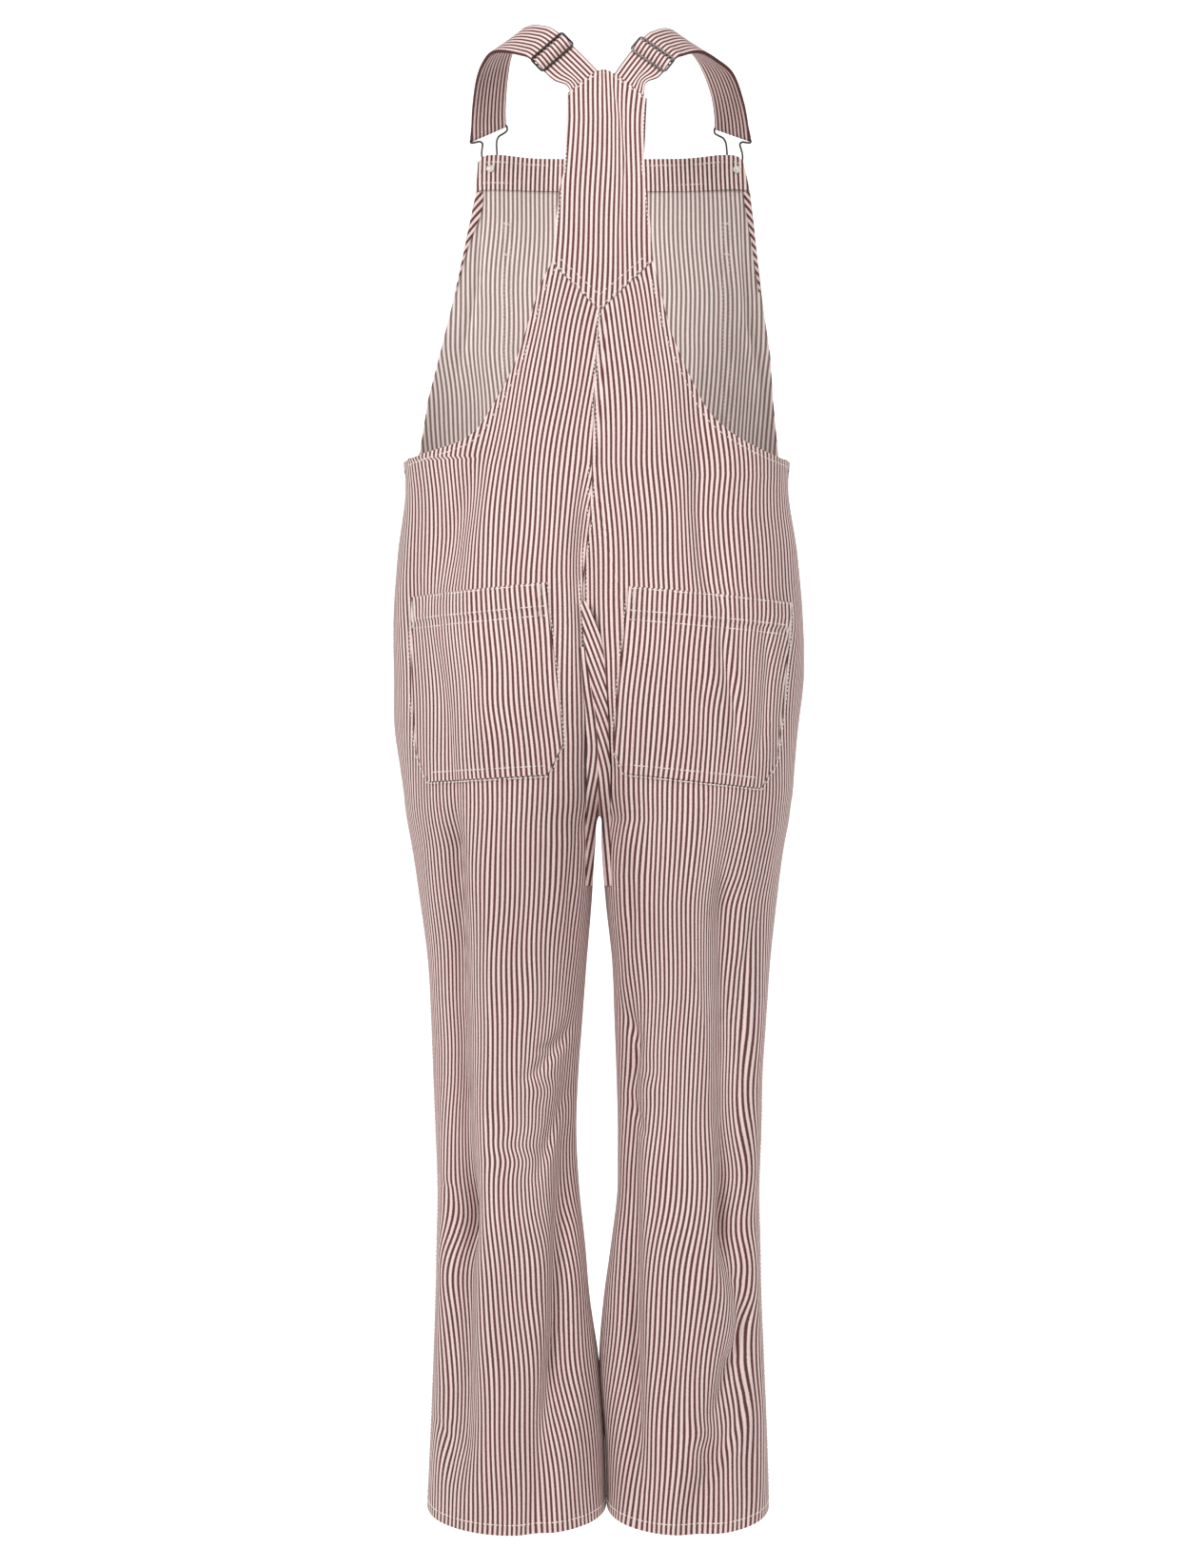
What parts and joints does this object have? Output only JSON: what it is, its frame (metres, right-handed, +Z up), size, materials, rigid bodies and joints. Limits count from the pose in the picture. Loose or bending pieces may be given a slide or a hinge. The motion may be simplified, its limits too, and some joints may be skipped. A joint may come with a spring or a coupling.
{
  "type": "dungarees",
  "caption": "Bib-and-brace dungarees of plain striped cotton, hollow as worn, with back yoke, adjustable clipped straps, bib pocket and back patch pockets.",
  "frame": {"origin": "where the two straps rest on the shoulders, midway between them", "axes": "+Z up, +Y towards the wearer's front, +X towards the wearer's right"},
  "size_m": [0.3875, 0.2391, 1.4106],
  "materials": {
    "stripe": "matte cotton twill, maroon stripes on pinkish white",
    "stripe_inside": "matte, the paler inside of the same cloth",
    "dark_metal": "satin dark wire",
    "pale_metal": "satin nickel"
  },
  "bodies": {
    "root": {"back_left": "stripe", "back_right": "stripe", "front_left": "stripe", "front_right": "stripe", "front_waistband": "stripe", "back_yoke": "stripe", "bib_facing": "stripe", "bib_pocket": "stripe", "back_pocket_left": "stripe", "back_pocket_right": "stripe", "strap_left": "stripe", "strap_right": "stripe", "bib": "stripe_inside", "slider_left": "dark_metal", "clip_left": "dark_metal", "clip_right": "dark_metal", "button_left": "dark_metal", "button_right": "dark_metal", "slider_right": "pale_metal", "rivet_left": "pale_metal", "rivet_right": "pale_metal"}
  },
  "joints": []
}
